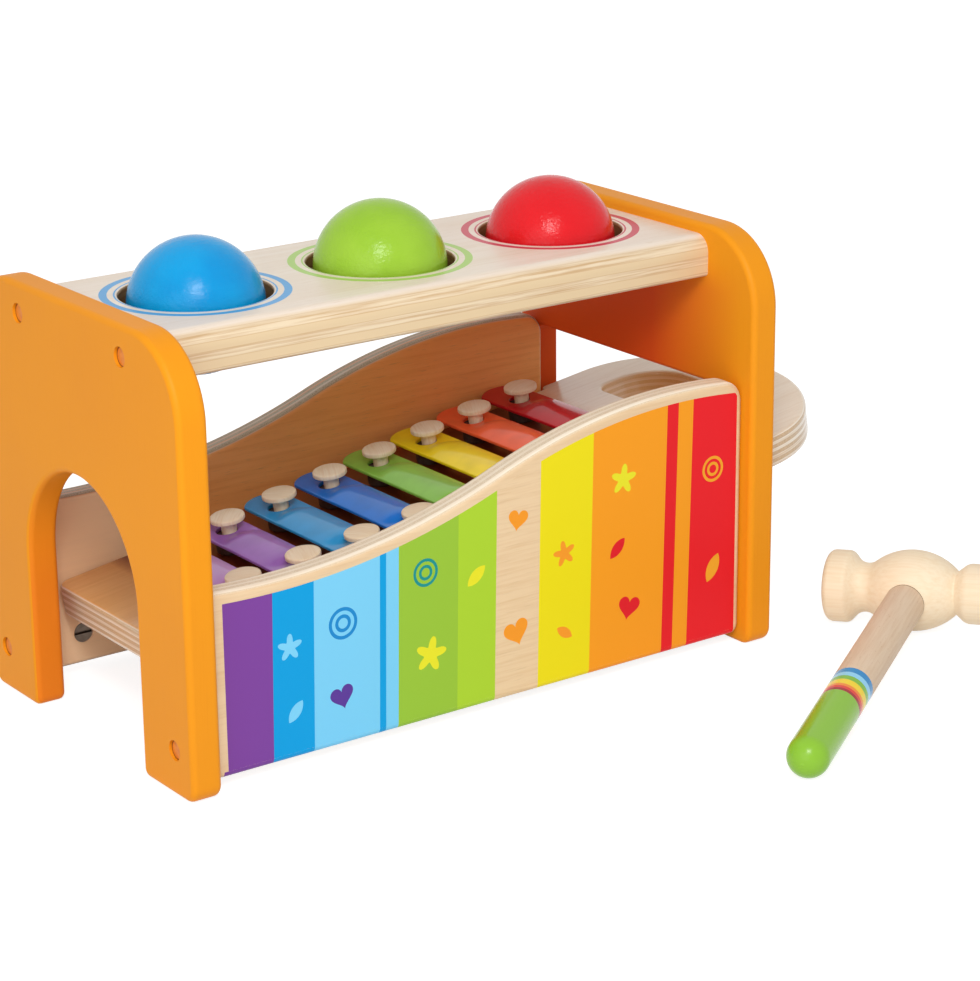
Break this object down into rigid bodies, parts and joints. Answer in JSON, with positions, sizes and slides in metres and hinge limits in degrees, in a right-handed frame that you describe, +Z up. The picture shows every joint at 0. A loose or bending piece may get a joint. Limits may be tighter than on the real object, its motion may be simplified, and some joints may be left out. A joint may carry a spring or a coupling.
{
  "type": "peg pounding bench",
  "caption": "Wooden pounding bench: balls struck through the top board roll down a slide-out xylophone and out of an arch; with a hammer.",
  "frame": {"origin": "on the floor, at the middle of the right end panel's lower edge", "axes": "+X along the bench towards the xylophone's handle, +Y from the printed front to the back, +Z up"},
  "size_m": [0.3076, 0.2372, 0.1634],
  "materials": {
    "orange_paint": "satin paint",
    "birch_ply": "matt lacquer",
    "printed_ply": "printed and lacquered face",
    "rail_wood": "sanded",
    "peg_wood": "sanded",
    "dowel_wood": "sanded",
    "zinc_steel": "zinc plated",
    "plug_paint": "satin paint",
    "ring_rubber": "matt",
    "spacer_rubber": "matt",
    "blue_lacquer": "gloss lacquer",
    "green_lacquer": "gloss lacquer",
    "red_lacquer": "gloss lacquer",
    "lilac_enamel": "gloss enamel",
    "purple_enamel": "gloss enamel",
    "sky_blue_enamel": "gloss enamel",
    "deep_blue_enamel": "gloss enamel",
    "green_enamel": "gloss enamel",
    "yellow_enamel": "gloss enamel",
    "orange_enamel": "gloss enamel",
    "crimson_enamel": "gloss enamel",
    "hammer_wood": "matt lacquer",
    "handle_wood": "matt lacquer with painted bands"
  },
  "bodies": {
    "bench": {"left_end_panel": "orange_paint", "right_end_panel": "orange_paint", "top_board": "birch_ply", "front_wave_panel": "printed_ply", "back_wave_panel": "printed_ply", "front_runner_rail": "rail_wood", "back_runner_rail": "rail_wood", "left_bolts": "zinc_steel", "right_bolts": "zinc_steel", "left_barrel_nuts": "zinc_steel", "right_barrel_nuts": "zinc_steel", "left_plugs": "plug_paint", "right_plugs": "plug_paint", "left_dowels": "dowel_wood", "right_dowels": "dowel_wood", "blue_ball_ring": "ring_rubber", "green_ball_ring": "ring_rubber", "red_ball_ring": "ring_rubber"},
    "xylophone": {"xylophone_board": "birch_ply", "lilac_bar": "lilac_enamel", "purple_bar": "purple_enamel", "sky_blue_bar": "sky_blue_enamel", "deep_blue_bar": "deep_blue_enamel", "green_bar": "green_enamel", "yellow_bar": "yellow_enamel", "orange_bar": "orange_enamel", "crimson_bar": "crimson_enamel", "front_pegs": "peg_wood", "back_pegs": "peg_wood", "front_spacers": "spacer_rubber", "back_spacers": "spacer_rubber"},
    "blue_ball": {"blue_ball": "blue_lacquer"},
    "green_ball": {"green_ball": "green_lacquer"},
    "red_ball": {"red_ball": "red_lacquer"},
    "hammer": {"hammer_head": "hammer_wood", "hammer_handle": "handle_wood"}
  },
  "joints": [
    {"name": "xylophone_slide", "type": "slide", "parent": "bench", "child": "xylophone", "axis": [0.9887, 0, 0.1502], "range_m": [0, 0.24]},
    {"name": "blue_ball_drop", "type": "slide", "parent": "bench", "child": "blue_ball", "axis": [0, 0, 1], "range_m": [-0.0661, 0.05], "deforming": ["blue_ball_ring"]},
    {"name": "green_ball_drop", "type": "slide", "parent": "bench", "child": "green_ball", "axis": [0, 0, 1], "range_m": [-0.0578, 0.05], "deforming": ["green_ball_ring"]},
    {"name": "red_ball_drop", "type": "slide", "parent": "bench", "child": "red_ball", "axis": [0, 0, 1], "range_m": [-0.0453, 0.05], "deforming": ["red_ball_ring"]},
    {"name": "hammer_lift", "type": "slide", "parent": "bench", "child": "hammer", "axis": [0, 0, 1], "range_m": [0, 0.15]}
  ]
}
